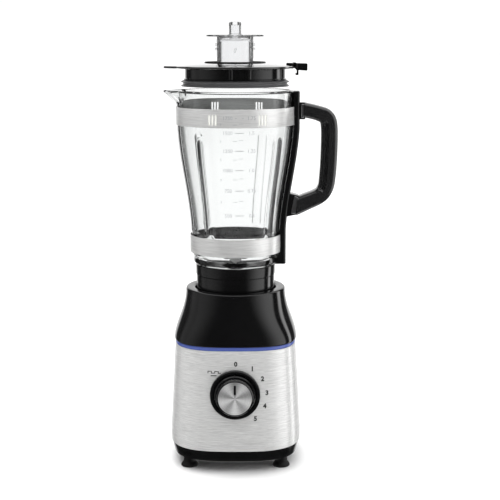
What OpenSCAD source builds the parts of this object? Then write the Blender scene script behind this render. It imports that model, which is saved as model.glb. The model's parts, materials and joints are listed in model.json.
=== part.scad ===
// Countertop blender: a motor base with a lit ring and a speed dial, a glass jug with a handle and a
// screw-off blade unit, a lid with a latch and a measuring cap. Drawn with the lid and cap lifted off.
// Z is up. The origin is on the standing surface, under the middle of the whole outline.

/* [Base] */
// Half width of the steel shell at its foot
shell_foot_half = 79; // [76:0.5:79.5]
// Half width of the steel shell at its top
shell_top_half = 73; // [72:0.5:75]
// Height at which the steel shell starts
shell_bottom_z = 28; // [26:0.5:30]
// Height at which the steel shell ends
shell_top_z = 148; // [146:0.5:150]
// Height of the lit ring
light_ring_h = 4.4; // [3:0.2:6]
// Height of the rim of the jug seat
seat_rim_z = 212; // [210:0.5:214]
// Outer radius of the jug seat's rim
seat_rim_r = 60; // [58:0.5:62]
// Inner radius of the jug seat
seat_r = 48.7; // [48.5:0.1:49.5]
// Height of the feet
foot_h = 14; // [12:0.5:14]
// Radius of the feet
foot_r = 10.5; // [10:0.5:12]
// Wall of the steel shell
steel_t = 0.8; // [0.6:0.1:1.2]
// Wall of the moulded housings
wall_t = 3; // [2.5:0.1:3]

/* [Speed dial] */
// Height of the dial's axis
dial_z = 96.5; // [92:0.5:100]
// Outer radius of the dial's bezel
bezel_r = 29.5; // [28:0.5:31]
// Radius of the knob at its skirt
knob_r = 24; // [22:0.5:24]
// How far the knob's face stands in front of the drive axis
knob_front = 91.9; // [90:0.1:94]

/* [Jug] */
// Radius of the jug above its foot
jug_low_r = 53.7; // [53:0.1:54]
// Radius of the jug at its shoulder
jug_high_r = 69.4; // [69:0.1:69.4]
// Height of the jug's rim
jug_rim_z = 447.5; // [446:0.5:448]
// Height of the jug's foot
jug_foot_z = 240.3; // [240.3:0.1:241]
// Wall of the glass
glass_t = 5; // [4.8:0.1:5]
// Reach of the spout from the drive axis
spout_reach = 85.5; // [84:0.5:88]
// Number of flutes pressed into the glass
flutes = 4; // [0:1:4]
// Outer radius of the blade unit's collar
collar_r = 47; // [46:0.1:47.2]

/* [Handle] */
// Width of the handle
handle_w = 25; // [22:0.5:26]
// Reach of the grip from the drive axis
grip_reach = 121.2; // [119:0.1:123]
// Thickness of the spine that runs up the jug
spine_t = 6.8; // [6:0.1:7]

/* [Lid and cap] */
// How far the lid is lifted above its seat
lid_lift = 24.7; // [10:0.1:40]
// How far the cap is lifted above its seat in the lid
cap_lift = 32.3; // [10:0.1:40]
// Radius of the lid
lid_r = 71; // [70:0.5:71.5]
// Radius of the hole in the lid
lid_hole_r = 24; // [23.5:0.1:25]
// Radius of the measuring cap's flange
cap_flange_r = 34; // [32:0.5:34.5]

/* [Hidden] */
$fn = 72;

fit = 0.3;            // gap between pieces that move past each other
running = 0.03;       // radial clearance of a shaft in its bearing
eps = 0.05;           // overlap that keeps a cut clean
gland_reach = 80;     // how far the cord gland stands behind the drive axis
axis_x = -(grip_reach - spout_reach) / 2;
axis_y = (knob_front + 0.3 - gland_reach) / 2;

square_power = 3;     // roundness of the base's plan: 2 is a circle, more is squarer
loft_sides = 48;
light_top_z = shell_top_z + light_ring_h;
foot_x = 55;
foot_y = 46;
post_x = 38;
post_y = 58;
mount_x = 46;
mount_y = 16;
tie = 34;
well_floor_z = 186;
shaft_r = 4;
bearing_r = 11;
bracket_z = 146;

stator_z = 90;
stator_h = 45;
stator_half = 41;
rotor_r = 25.8;

band_t = 0.8;
upper_band_z = 407;
upper_band_h = 21.2;
lower_band_z = 255.3;
lower_band_h = 20.9;
shoulder_z = 402;
waist_z = 283;
flute_turns = [59, 136, 237, 316];
collar_z = 188.5;
collar_step_z = 227.7;
collar_top_z = 240;
lid_seat_z = jug_rim_z + 0.8;
lid_z = lid_seat_z + lid_lift;
lid_recess_z = lid_z + 4;
cap_flange_z = lid_recess_z + fit + cap_lift;
latch_x = 70;
latch_z = lid_z + 3.5;
latch_w = 13;

black = [0.05, 0.05, 0.055];
steel = [0.78, 0.78, 0.77];
zinc = [0.62, 0.63, 0.65];
copper = [0.72, 0.42, 0.22];
glass = [0.8, 0.88, 0.88, 0.35];
silicone = [0.6, 0.6, 0.6];

// ---- shared shapes ----

// Moves a piece from the drive axis to its place over the origin
module on_axis() {
    translate([axis_x, axis_y, 0]) children();
}

module ring(r_out, r_in, z, h) {
    translate([0, 0, z]) difference() {
        cylinder(r = r_out, h = h);
        translate([0, 0, -eps]) cylinder(r = r_in, h = h + 2 * eps);
    }
}

module rod(r, z, h) {
    translate([0, 0, z]) cylinder(r = r, h = h);
}

// A block centred on x and y, with its bottom at z
module block(w, d, z, h) {
    translate([-w / 2, -d / 2, z]) cube([w, d, h]);
}

// Copies at the four corners of a rectangle
module corners(x, y) {
    for (i = [-1, 1]) for (j = [-1, 1]) translate([i * x, j * y, 0]) children();
}

// A solid of revolution about an axis that points to the front
module front_turned() {
    translate([0, 0, dial_z]) rotate([90, 0, 0]) children();
}

function squircle_r(half, power, a) =
    half / pow(pow(abs(cos(a)), power) + pow(abs(sin(a)), power), 1 / power);

// One ring of a loft: section is [height, half width, power]
function loft_ring(section) = [
    for (i = [0 : loft_sides - 1])
        let (a = 360 * i / loft_sides, r = squircle_r(section[1], section[2], a))
        [r * cos(a), r * sin(a), section[0]]
];

// A closed solid through rounded-square sections stacked along Z
module loft(sections) {
    n = loft_sides;
    last = len(sections) - 1;
    points = [for (s = sections) each loft_ring(s)];
    sides = [
        for (j = [0 : last - 1]) for (i = [0 : n - 1])
            let (k = (i + 1) % n, a = j * n + i, b = j * n + k, c = b + n, d = a + n)
            each [[a, d, c], [a, c, b]]
    ];
    ends = [[for (i = [0 : n - 1]) i], [for (i = [n - 1 : -1 : 0]) last * n + i]];
    polyhedron(points = points, faces = concat(ends, sides));
}

function mix(a, b, t) = a + (b - a) * t;
function ease(t) = (1 - cos(180 * t)) / 2;

// ---- outlines of the base ----

function shell_half(z) = mix(shell_foot_half, shell_top_half,
    max(0, (z - shell_bottom_z - 12) / (shell_top_z - shell_bottom_z - 12)));

// Solid outline of the steel shell, drawn in by inset
module shell_outline(inset, z0, z1) {
    bend_z = shell_bottom_z + 12;
    loft([
        [z0, shell_half(z0) - inset, square_power],
        [bend_z, shell_half(bend_z) - inset, square_power],
        [z1, shell_half(z1) - inset, square_power],
    ]);
}

flare_steps = 10;
flare_top_z = seat_rim_z - 2.5;
function flare_z(t) = mix(light_top_z, flare_top_z, t);
function flare_half(t) = mix(shell_top_half + 1, seat_rim_r, ease(pow(t, 0.85)));
function flare_power(t) = mix(square_power, 2, ease(t));

// The flared outline of the upper housing, up to part t_end of its height
function flare_sections(inset, t_end) = [
    for (i = [0 : flare_steps])
        let (t = t_end * i / flare_steps)
        [flare_z(t), flare_half(t) - inset, flare_power(t)]
];

// ---- base: housings and covers ----

module lower_housing() color(black) on_axis() {
    top_half = shell_foot_half - 1;
    bottom_half = shell_foot_half - 4;
    difference() {
        union() {
            loft([[foot_h, bottom_half, square_power], [shell_bottom_z, top_half, square_power]]);
            loft([[shell_bottom_z - 1, shell_foot_half - steel_t - 0.2, square_power],
                  [shell_bottom_z + 6, shell_foot_half - steel_t - 0.2, square_power]]);
        }
        difference() {
            loft([[foot_h + wall_t, bottom_half - wall_t, square_power],
                  [shell_bottom_z + 7, shell_foot_half - wall_t - 1, square_power]]);
            corners(post_x, post_y) rod(5.5, foot_h, shell_bottom_z + 5.7 - foot_h);
        }
        corners(foot_x, foot_y) rod(4, 0, foot_h + 2 * wall_t);
        corners(post_x, post_y) {
            rod(2.2, foot_h - eps, 30);
            rod(4.2, foot_h - eps, 4);
        }
        for (i = [-5 : 5]) translate([i * 6, 0, 0]) block(3, 46, foot_h - 1, wall_t + 2);
        translate([0, gland_reach - 20, 21.5]) rotate([-90, 0, 0]) {
            cylinder(r = 5, h = 40);
            cylinder(r = 6.4, h = 10.3);
        }
    }
}

module foot() color([0.12, 0.12, 0.12]) {
    rotate_extrude() polygon([[0, 0], [foot_r - 0.8, 0], [foot_r, 0.8], [foot_r - 0.5, 2.5],
        [foot_r - 3.5, 5.5], [foot_r - 3.5, foot_h], [4, foot_h], [4, foot_h + wall_t],
        [0, foot_h + wall_t]]);
}

module foot_front_left() on_axis() translate([-foot_x, -foot_y, 0]) foot();
module foot_front_right() on_axis() translate([foot_x, -foot_y, 0]) foot();
module foot_rear_left() on_axis() translate([-foot_x, foot_y, 0]) foot();
module foot_rear_right() on_axis() translate([foot_x, foot_y, 0]) foot();

module steel_shell() color(steel) on_axis() {
    difference() {
        shell_outline(0, shell_bottom_z, shell_top_z);
        shell_outline(steel_t, shell_bottom_z - 1, shell_top_z + 1);
        front_turned() cylinder(r = 6, h = 100);
    }
}

module light_ring() color([0.25, 0.35, 0.85]) on_axis() {
    difference() {
        loft([[shell_top_z, shell_top_half, square_power],
              [light_top_z, shell_top_half, square_power]]);
        loft([[shell_top_z - 1, shell_top_half - 4, square_power],
              [light_top_z + 1, shell_top_half - 4, square_power]]);
    }
}

module led_board() color([0.1, 0.35, 0.2]) on_axis() {
    leds = 12;
    ring(64.3, 56.5, 144.4, 1.6);
    for (i = [0 : leds - 1]) rotate([0, 0, 360 * i / leds]) translate([61, 0, 0]) block(3.5, 2.8, 146, 1.8);
}

module upper_housing() color(black) on_axis() {
    skirt_half = shell_top_half - 4.2;
    well_t = 3;
    difference() {
        union() {
            difference() {
                union() {
                    loft(concat(flare_sections(0, 1), [[seat_rim_z - 0.7, seat_rim_r - 0.8, 2],
                        [seat_rim_z, seat_rim_r - 3, 2]]));
                    loft([[shell_top_z - 6, skirt_half, square_power],
                          [light_top_z + 1, skirt_half, square_power]]);
                }
                loft(flare_sections(wall_t + 1.5, 0.9));
                loft([[shell_top_z - 7, skirt_half - 2, square_power],
                      [light_top_z + 2, skirt_half - 2, square_power]]);
            }
            rod(seat_r + well_t, well_floor_z - well_t, seat_rim_z - well_floor_z);
            corners(mount_x, mount_y) rod(5.5, 157, well_floor_z - 157);
            corners(post_x, post_y) {
                rod(4.5, 34, 125);
                block(9, 4, 150, 22);
            }
        }
        rod(seat_r, well_floor_z, 40);
        rod(bearing_r, well_floor_z - 10, 20);
        corners(mount_x, mount_y) rod(2, 156, 15);
        corners(post_x, post_y) rod(1.6, 33, 30);
    }
}

module seat_cushion() color([0.15, 0.15, 0.15]) on_axis()
    ring(47.5, 40, well_floor_z, collar_z - well_floor_z - fit);

module shaft_seal() color([0.2, 0.2, 0.2]) on_axis() {
    ring(bearing_r, shaft_r + 0.2, well_floor_z - 3, 3);
}

module knob_bezel() color(black) on_axis() {
    difference() {
        front_turned() translate([0, 0, 70]) rotate_extrude() polygon([[24.9, 0], [bezel_r, 0],
            [bezel_r, 8.2], [bezel_r - 0.8, 9], [25.7, 9], [24.9, 8.2]]);
        shell_outline(0, shell_bottom_z, shell_top_z);
    }
}

module rotary_switch() color([0.85, 0.85, 0.8]) on_axis() {
    difference() {
        union() {
            translate([0, -61, 0]) block(30, 18, dial_z - 15, 30);
            front_turned() translate([0, 0, 69]) cylinder(r = 5.5, h = 4);
        }
        front_turned() translate([0, 0, 50]) cylinder(r = 3 + running, h = 30);
    }
}

module control_board() color([0.1, 0.35, 0.2]) on_axis() translate([0, -62, 0]) {
    block(56, 1.6, 44, 34);
    translate([-16, 6.8, 0]) block(16, 12, 50, 14);
    translate([6, 5.8, 0]) block(10, 10, 50, 20);
    translate([20, 0.8, 66]) rotate([-90, 0, 0]) cylinder(r = 5, h = 14);
}

module cord_gland() color([0.12, 0.12, 0.12]) on_axis() translate([0, 66, 21.5]) rotate([-90, 0, 0]) {
    difference() {
        rotate_extrude() polygon([[0, 0], [6.2, 0], [6.2, 4], [4.8, 4], [4.8, 12.2], [6.4, 12.2],
            [6.2, gland_reach - 66], [0, gland_reach - 66]]);
        translate([0, 0, -1]) cylinder(r = 3.6, h = 20);
    }
}

module screw(head_r, r, z, length) {
    rod(head_r, z, 2.2);
    rod(r, z + 2.1, length);
}

module housing_screws() color(zinc) on_axis() corners(post_x, post_y) screw(3.8, 1.6, foot_h + 1.6, 38);

// ---- base: motor ----

// Part of a ring between two angles
module sector(r_out, r_in, a0, a1, z, h) {
    translate([0, 0, z]) rotate([0, 0, a0]) rotate_extrude(angle = a1 - a0)
        translate([r_in, 0]) square([r_out - r_in, h]);
}

module motor_stator() color([0.35, 0.36, 0.38]) on_axis() {
    window = 35;
    difference() {
        block(2 * stator_half, 2 * stator_half, stator_z, stator_h);
        rod(rotor_r + 0.7, stator_z - 1, stator_h + 2);
        for (a = [0, 180]) sector(38, rotor_r - 1, a - window, a + window, stator_z - 1, stator_h + 2);
        corners(tie, tie) rod(2, stator_z - 1, stator_h + 2);
        corners(stator_half, stator_half) rod(5, stator_z - 1, stator_h + 2);
    }
}

module field_coils() color(copper) on_axis() {
    end_h = 7.5;
    for (a = [0, 180]) rotate([0, 0, a]) {
        for (z = [stator_z - end_h - 0.2, stator_z + stator_h + 0.2]) sector(37, 28, 10, 170, z, end_h);
        for (leg = [[11, 32], [148, 169]])
            sector(36.5, 28.5, leg[0], leg[1], stator_z - end_h + 1, stator_h + 2 * end_h - 2);
    }
}

// A plate with four arms that reach the tie rods
module spider(r, arm_w, z, h) {
    rod(r, z, h);
    for (a = [45, 135]) rotate([0, 0, a]) block(2 * tie * sqrt(2), arm_w, z, h);
    corners(tie, tie) rod(arm_w / 2 + 1, z, h);
}

module motor_bracket_upper() color(zinc) on_axis() {
    difference() {
        union() {
            spider(20, 10, bracket_z, 3);
            for (j = [-1, 1]) translate([0, j * mount_y, 0]) block(2 * mount_x, 9, bracket_z, 3);
            corners(mount_x, mount_y) rod(6, bracket_z, 3);
            rod(14, bracket_z, 10);
        }
        rod(bearing_r, bracket_z + 3, 10);
        rod(6, bracket_z - 1, 10);
        corners(tie, tie) rod(2, bracket_z - 1, 10);
        corners(mount_x, mount_y) rod(2.2, bracket_z - 1, 10);
    }
}

module motor_bracket_lower() color(zinc) on_axis() {
    difference() {
        union() {
            spider(18, 10, 64, 3);
            block(12, 76, 64, 3);
            rod(14, 56, 10);
        }
        rod(bearing_r, 55, 9);
        rod(6, 55, 20);
        corners(tie, tie) rod(2, 60, 10);
    }
}

module motor_tie_rods() color(zinc) on_axis() corners(tie, tie) {
    rod(2, 62, 88);
    rod(3.6, 61, 3);
    rod(3.6, bracket_z + 3, 3);
}

module motor_bushings() color([0.15, 0.15, 0.15]) on_axis() {
    corners(mount_x, mount_y) ring(6.5, 2.2, bracket_z + 3, 157 - bracket_z - 3);
}

module motor_screws() color(zinc) on_axis() corners(mount_x, mount_y) {
    rod(4, bracket_z - 2.2, 2.2);
    rod(2, bracket_z, 22);
}

module bearing(z) color([0.75, 0.6, 0.35]) ring(bearing_r, shaft_r + running, z, 7);

module bearing_upper() on_axis() bearing(bracket_z + 3);
module bearing_lower() on_axis() bearing(57);

module brush_holders() color([0.55, 0.45, 0.3]) on_axis() for (a = [0, 180]) rotate([0, 0, a]) {
    translate([0, 26, 0]) difference() {
        block(10, 22, 67, 14);
        translate([0, 1.5, 0]) block(6, 26, 70, 9);
    }
}

module carbon_brushes() color([0.1, 0.1, 0.1]) on_axis() {
    for (a = [0, 180]) rotate([0, 0, a]) translate([0, 11.3 + 9.5, 0]) block(6, 19, 70, 9);
}

module motor_shaft() color(zinc) on_axis() rod(shaft_r, 40, 158);

module armature_core() color([0.35, 0.36, 0.38]) on_axis() {
    slots = 12;
    difference() {
        rod(rotor_r, stator_z + 1, stator_h - 2);
        rod(shaft_r, stator_z, stator_h);
        for (i = [0 : slots - 1]) rotate([0, 0, 360 * i / slots])
            translate([rotor_r - 1, 0, 0]) block(8, 2, stator_z, stator_h);
    }
}

module armature_windings() color(copper) on_axis() {
    for (z = [stator_z - 5.5, stator_z + stator_h - 1]) ring(21, shaft_r, z, 6.5);
}

module commutator() color(copper) on_axis() {
    bars = 24;
    difference() {
        ring(11, shaft_r, 68.5, 15.5);
        for (i = [0 : bars - 1]) rotate([0, 0, 360 * i / bars])
            translate([11, 0, 0]) block(1.6, 0.5, 70, 13);
    }
}

module cooling_fan() color([0.9, 0.9, 0.88]) on_axis() {
    blades = 11;
    difference() {
        union() {
            rod(36, 42, 1.8);
            rod(8, 42, 12);
            for (i = [0 : blades - 1]) rotate([0, 0, 360 * i / blades])
                translate([21, 0, 0]) rotate([0, 0, 25]) block(26, 1.4, 43, 10.5);
        }
        rod(shaft_r, 41, 20);
    }
}

coupling_teeth = 6;

module drive_coupling() color([0.2, 0.2, 0.21]) on_axis() {
    difference() {
        union() {
            rod(9.5, well_floor_z + 2.5, 14);
            for (i = [0 : coupling_teeth - 1]) rotate([0, 0, 360 * i / coupling_teeth])
                translate([10.5, 0, 0]) block(8, 3.4, well_floor_z + 2.5, 14);
        }
        rod(shaft_r, well_floor_z, 12);
    }
}

// ---- speed dial ----

knob_depth = 14.5;

module knob_body() color(black) on_axis() front_turned() {
    translate([0, 0, knob_front - knob_depth]) difference() {
        rotate_extrude() polygon([[0, 0], [knob_r, 0], [knob_r, 2.5], [knob_r - 1, 4],
            [knob_r - 2.4, knob_depth - 1.2], [knob_r - 3.6, knob_depth], [0, knob_depth]]);
        translate([0, 0, knob_depth - 0.8]) cylinder(r = knob_r - 4.4, h = 2);
        translate([0, 0, -1]) cylinder(r = 3, h = 11);
    }
}

module knob_face() color(steel) on_axis() front_turned() {
    translate([0, 0, knob_front - 0.8]) cylinder(r = knob_r - 4.4, h = 0.8);
}

module knob_pointer() color(black) on_axis() front_turned() {
    translate([-1.2, 6.5, knob_front]) cube([2.4, 9.5, 0.3]);
}

module dial_shaft() color(zinc) on_axis() front_turned() translate([0, 0, 53]) {
    cylinder(r = 3, h = knob_front - knob_depth - 53 + 10);
}

// ---- jug ----

jug_steps = 14;
function jug_t(z) = min(1, max(0, (z - waist_z) / (shoulder_z - waist_z)));
function jug_r(z) = mix(jug_low_r, jug_high_r, (jug_t(z) + ease(jug_t(z))) / 2);
function jug_z(i) = mix(waist_z, shoulder_z, i / jug_steps);
function jug_wall(inset) = [for (i = [0 : jug_steps]) [jug_r(jug_z(i)) - inset, jug_z(i)]];

// The outside of the glass, grown by out, from its foot to z_end
module jug_outside(out, z_end) {
    foot_r0 = 47.8;
    rotate_extrude() polygon(concat(
        [[0, jug_foot_z], [foot_r0 + out, jug_foot_z], [50.2 + out, jug_foot_z + 3],
         [50.2 + out, 250], [jug_low_r + out, 256], [jug_low_r + out, 272],
         [jug_low_r - 1 + out, 276], [jug_low_r - 1 + out, 278]],
        jug_wall(-out), [[jug_high_r + out, z_end], [0, z_end]]));
}

module jug_inside() {
    neck_r = 38;
    rotate_extrude() polygon(concat(
        [[0, 230], [neck_r, 230], [neck_r, jug_foot_z + 2], [jug_low_r - glass_t - 3, 262]],
        jug_wall(glass_t), [[jug_high_r - glass_t, jug_rim_z + 1], [0, jug_rim_z + 1]]));
}

// The pouring lip: a hollow wedge that leans out of the rim, shrunk by inset for its channel
module spout(inset) {
    hull() {
        translate([-spout_reach + 3, 0, jug_rim_z - 3.4]) sphere(r = 3 - inset / 2, $fn = 24);
        for (j = [-1, 1]) translate([-60, j * (22 - inset), jug_rim_z - 4])
            cylinder(r = 2, h = 4 + inset / 2, $fn = 24);
        translate([-jug_high_r + 4 + inset, 0, jug_rim_z - 17 + inset * 1.5]) sphere(r = 3, $fn = 24);
    }
}

module flute() {
    low_z = 284;
    high_z = 388;
    depth = 1.8;
    r = 22;
    low_r = jug_r(low_z) + r - depth;
    high_r = jug_r(high_z) + r - depth;
    length = sqrt(pow(high_z - low_z, 2) + pow(high_r - low_r, 2));
    translate([low_r, 0, low_z]) rotate([0, atan2(high_r - low_r, high_z - low_z), 0]) {
        cylinder(r = r, h = length);
        sphere(r = r);
        translate([0, 0, length]) sphere(r = r);
    }
}

module glass_jar() color(glass) on_axis() {
    difference() {
        union() {
            jug_outside(0, jug_rim_z);
            ring(42.4, 38, 235, 6);
            spout(0);
        }
        jug_inside();
        spout(2.4);
        for (i = [0 : 1 : flutes - 1]) rotate([0, 0, flute_turns[i]]) flute();
    }
}

// Three upright slots, centred on angle a
module slot_group(a) {
    for (i = [-1 : 1]) rotate([0, 0, a + i * 3.2]) translate([jug_high_r, 0, 0])
        block(10, 2.4, upper_band_z + 2.7, 12);
}

module upper_band() color(steel) on_axis() {
    difference() {
        ring(jug_high_r + 0.2 + band_t, jug_high_r + 0.2, upper_band_z, upper_band_h);
        for (a = [-111, -63, 64, 113]) slot_group(a);
    }
}

module lower_band() color(steel) on_axis() {
    ring(jug_low_r + 0.2 + band_t, jug_low_r + 0.2, lower_band_z, lower_band_h);
}

// ---- handle ----

// The middle line of the handle, from the upper arm round the grip to the lower arm: [x, z, r]
grip_r = 9.8;
grip_x = grip_reach - grip_r;
handle_path = [
    [79, 424.7, 8.8], [97, 420.6, 8.7], [107.5, 415.5, 9.6], [grip_x, 404, grip_r],
    [grip_x, 372, grip_r], [grip_x - 1.6, 345, 9.7], [grip_x - 4, 331.5, 9.3],
    [grip_x - 11, 322.2, 9.2], [84, 314.6, 9.8], [66, 306.9, 10.4],
];

path_steps = 4;

// A point of the handle's path at t: whole numbers are the points above, the rest is a smooth curve
function path_at(t) =
    let (last = len(handle_path) - 1, i = max(0, min(floor(t), last - 1)), u = t - i,
        a = handle_path[max(0, i - 1)], b = handle_path[i], c = handle_path[i + 1],
        d = handle_path[min(last, i + 2)])
    0.5 * (2 * b + (c - a) * u + (2 * a - 5 * b + 4 * c - d) * u * u + (3 * b - a - 3 * c + d) * u * u * u);

// One edge of the handle, at side times its radius from the path; a hollow runs a little past the ends
function handle_edge(inset, side) =
    let (last = len(handle_path) - 1, past = inset > 0 ? 0.1 : 0)
    [for (i = [0 : path_steps * last])
        let (t = mix(-past, last + past, i / (path_steps * last)), p = path_at(t),
            q = path_at(t + 0.02) - path_at(t - 0.02), n = [-q[1], q[0]] / norm([q[0], q[1]]))
        [p[0], p[1]] + side * (p[2] - inset) * n];

module handle_outline(inset) {
    inner = handle_edge(inset, -1);
    polygon(concat(handle_edge(inset, 1), [for (i = [len(inner) - 1 : -1 : 0]) inner[i]]));
}

// Stands a flat outline up in the plane of the handle, between two distances from the middle
module in_handle_plane(y0, y1) {
    translate([0, y1, 0]) rotate([90, 0, 0]) linear_extrude(height = y1 - y0) children();
}

boss_x = 81.2;

// The two arms' roots, which belong to the spine
module spine_bosses() {
    in_handle_plane(-handle_w / 2 + 1, handle_w / 2 - 1) {
        translate([70, 413]) square([boss_x - 70, 20.6]);
        polygon([[56, 296], [73, 300], [73, 323], [60, 327]]);
    }
}

// The spine's back: it follows the glass, and hangs straight down below the waist
module spine_outside(z_end) {
    low_r = jug_low_r + spine_t;
    rotate_extrude() polygon(concat([[0, jug_foot_z], [low_r, jug_foot_z]], jug_wall(-spine_t),
        [[jug_high_r + spine_t, z_end], [0, z_end]]));
}

module handle_spine() color(black) on_axis() {
    top_z = jug_rim_z - 1.3;
    difference() {
        union() {
            intersection() {
                spine_outside(top_z);
                translate([30, -handle_w / 2 + 1, 239]) cube([60, handle_w - 2, top_z - 239]);
            }
            spine_bosses();
        }
        jug_outside(0.3, jug_rim_z + 2);
        rod(jug_high_r + 0.4 + band_t, upper_band_z - 0.2, upper_band_h + 0.4);
        rod(jug_low_r + 0.4 + band_t, lower_band_z - 0.2, lower_band_h + 0.4);
        translate([60, -5, 437]) cube([30, 10, 20]);
        translate([60, -latch_w / 2 - 0.8, jug_rim_z - 3]) cube([30, latch_w + 1.6, 20]);
        for (z = [424, 311]) translate([50, 0, z]) rotate([0, 90, 0]) cylinder(r = 2.1, h = 60);
        for (z = [424, 311]) translate([50, 0, z]) rotate([0, 90, 0])
            cylinder(r = 4.2, h = z > 400 ? 23 : 12);
    }
}

// One half of the hollow grip; side is -1 for the front and 1 for the rear
module handle_half(side) {
    half = handle_w / 2;
    lo = side < 0 ? -half : 0.05;
    difference() {
        in_handle_plane(lo, lo + half - 0.05) handle_outline(0);
        in_handle_plane(-half + 2.5, half - 2.5) handle_outline(2.5);
        spine_keepout();
        translate([grip_reach - 2, -6.2, 338]) cube([5, 12.4, 70]);
        for (z = [424, 311]) translate([60, 0, z]) rotate([0, 90, 0]) cylinder(r = 2.1, h = 28);
    }
}

module spine_keepout() {
    translate([50, -20, 412]) cube([boss_x + 0.1 - 50, 40, 26]);
    translate([50, -20, 290]) cube([23.1, 40, 44]);
}

module handle_shell_front() color(black) on_axis() handle_half(-1);
module handle_shell_rear() color(black) on_axis() handle_half(1);

module grip_insert() color([0.1, 0.1, 0.1]) on_axis() {
    intersection() {
        in_handle_plane(-6, 6) handle_outline(0);
        translate([grip_reach - 1.9, -7, 339]) cube([5, 14, 68]);
    }
}

module handle_screws() color(zinc) on_axis() {
    for (s = [[424, 71.2], [311, 58.6]]) translate([s[1], 0, s[0]]) rotate([0, 90, 0]) {
        cylinder(r = 3.8, h = 1.6);
        cylinder(r = 2, h = s[0] > 400 ? 15 : 23);
    }
}

// ---- blade unit ----

module blade_collar() color(black) on_axis() {
    rotate_extrude() polygon([
        [43, collar_z], [collar_r - 1, collar_z], [collar_r, collar_z + 1],
        [collar_r, collar_step_z - 0.8], [collar_r - 0.6, collar_step_z - 0.8],
        [collar_r - 0.6, collar_step_z], [collar_r + 0.8, collar_step_z],
        [collar_r + 0.8, collar_top_z], [42.8, collar_top_z], [42.8, 233], [14, 233], [10, 240],
        [9, 246], [6, 246], [6, 209], [10, 209], [12, 228], [43, 228],
    ]);
}

module jar_gasket() color(silicone) on_axis() ring(42.6, 37.5, 233, 1.7);

module bearing_sleeve() color([0.75, 0.6, 0.35]) on_axis() ring(6, shaft_r + running, 209, 37);

module blade_seal() color(silicone) on_axis() ring(7.5, shaft_r + 0.1, 246, 1.6);

// A blade of two opposite wings that bend at bend_r and end at end_r, tip_h above or below
module wings(z, thick, root_w, bend_r, end_r, tip_h) {
    slope = atan2(tip_h, end_r - bend_r);
    difference() {
        union() {
            rod(7, z, thick);
            for (a = [0, 180]) rotate([0, 0, a]) {
                translate([0, -root_w / 2, z]) cube([bend_r, root_w, thick]);
                translate([bend_r, 0, z + thick / 2]) rotate([0, -slope, 0])
                    translate([-0.6, 0, -thick / 2]) linear_extrude(height = thick)
                    polygon([[0, 0.2 - root_w / 2], [norm([end_r - bend_r, tip_h]), -1.5],
                        [norm([end_r - bend_r, tip_h]), 1.5], [0, root_w / 2 - 0.2]]);
            }
        }
        rod(shaft_r, z - 1, thick + 2);
    }
}

module blade_lower() color(steel) on_axis() rotate([0, 0, 90]) wings(249, 1.5, 13, 14, 32, -5);
module blade_upper() color(steel) on_axis() wings(250.5, 1.5, 13, 12, 30, 14);

module blade_shaft() color(zinc) on_axis() {
    rod(shaft_r, 203.6, 52.4);
    rod(5.5, 247.8, 1.2);
}

module blade_nut() color(zinc) on_axis() difference() {
    union() {
        translate([0, 0, 252]) cylinder(r = 6.5, h = 4.5, $fn = 6);
        rod(4.8, 256.5, 1.8);
    }
    rod(shaft_r, 251, 5);
}

module driven_coupling() color([0.2, 0.2, 0.21]) on_axis() {
    difference() {
        rod(20, 190, 18.5);
        difference() {
            rod(15.8, 189, 14.5);
            for (i = [0 : coupling_teeth - 1]) rotate([0, 0, 360 * (i + 0.5) / coupling_teeth])
                translate([14.5, 0, 0]) block(7, 3.4, 188, 20);
        }
        rod(shaft_r, 189, 20);
    }
}

// ---- lid ----

module lid_body() color(black) on_axis() {
    difference() {
        union() {
            rotate_extrude() polygon([[0, lid_z - 0.3], [lid_r - 1, lid_z - 0.3], [lid_r, lid_z + 0.5],
                [lid_r, lid_z + 1.8], [lid_r - 1, lid_z + 2.6], [56, lid_z + 4.8], [40, lid_z + 6.1],
                [cap_flange_r + 3.1, lid_z + 6.4], [cap_flange_r + 3.1, lid_z + 7.9], [0, lid_z + 7.9]]);
            translate([0, 0, lid_z]) linear_extrude(height = 2.6) polygon([[-60, -24], [-78, -14],
                [-84, -6], [-84, 6], [-78, 14], [-60, 24]]);
            for (j = [-1, 1]) translate([latch_x, j * (latch_w / 2 + 2), latch_z]) rotate([90, 0, 0])
                cylinder(r = 2.8, h = 3, center = true);
            for (j = [-1, 1]) translate([latch_x - 4, j * (latch_w / 2 + 2) - 1.5, lid_z])
                cube([6.8, 3, 3.5]);
        }
        rod(lid_hole_r, lid_z - 5, 20);
        rod(cap_flange_r + 1, lid_recess_z, 20);
        translate([59.6, -latch_w / 2 - 0.5, lid_z - 2]) cube([20, latch_w + 1, 20]);
        translate([latch_x, 0, latch_z]) rotate([90, 0, 0]) cylinder(r = 1.25, h = 40, center = true);
    }
}

module lid_plug() color(black) on_axis() {
    ring(59.2, 55.5, lid_z - 21, 20.7);
    ring(60.6, 59, lid_z - 13.6, 1.4);
    ring(27.4, lid_hole_r + 0.4, lid_z - 14, 13.7);
    ring(57, lid_hole_r + 0.4, lid_z - 2.3, 2);
}

module lid_gasket() color(silicone) on_axis() {
    rotate_extrude() polygon([[59.2, lid_z - 21.3], [63.6, lid_z - 21], [63.9, lid_z - 20.2],
        [61.4, lid_z - 18.4], [61.4, lid_z - 17], [63.6, lid_z - 16], [63.9, lid_z - 15.2],
        [61, lid_z - 13.8], [59.2, lid_z - 13.8]]);
}

module latch_pin() color(zinc) on_axis() {
    translate([latch_x, 0, latch_z]) rotate([90, 0, 0]) cylinder(r = 1.25, h = latch_w + 7, center = true);
}

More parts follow.
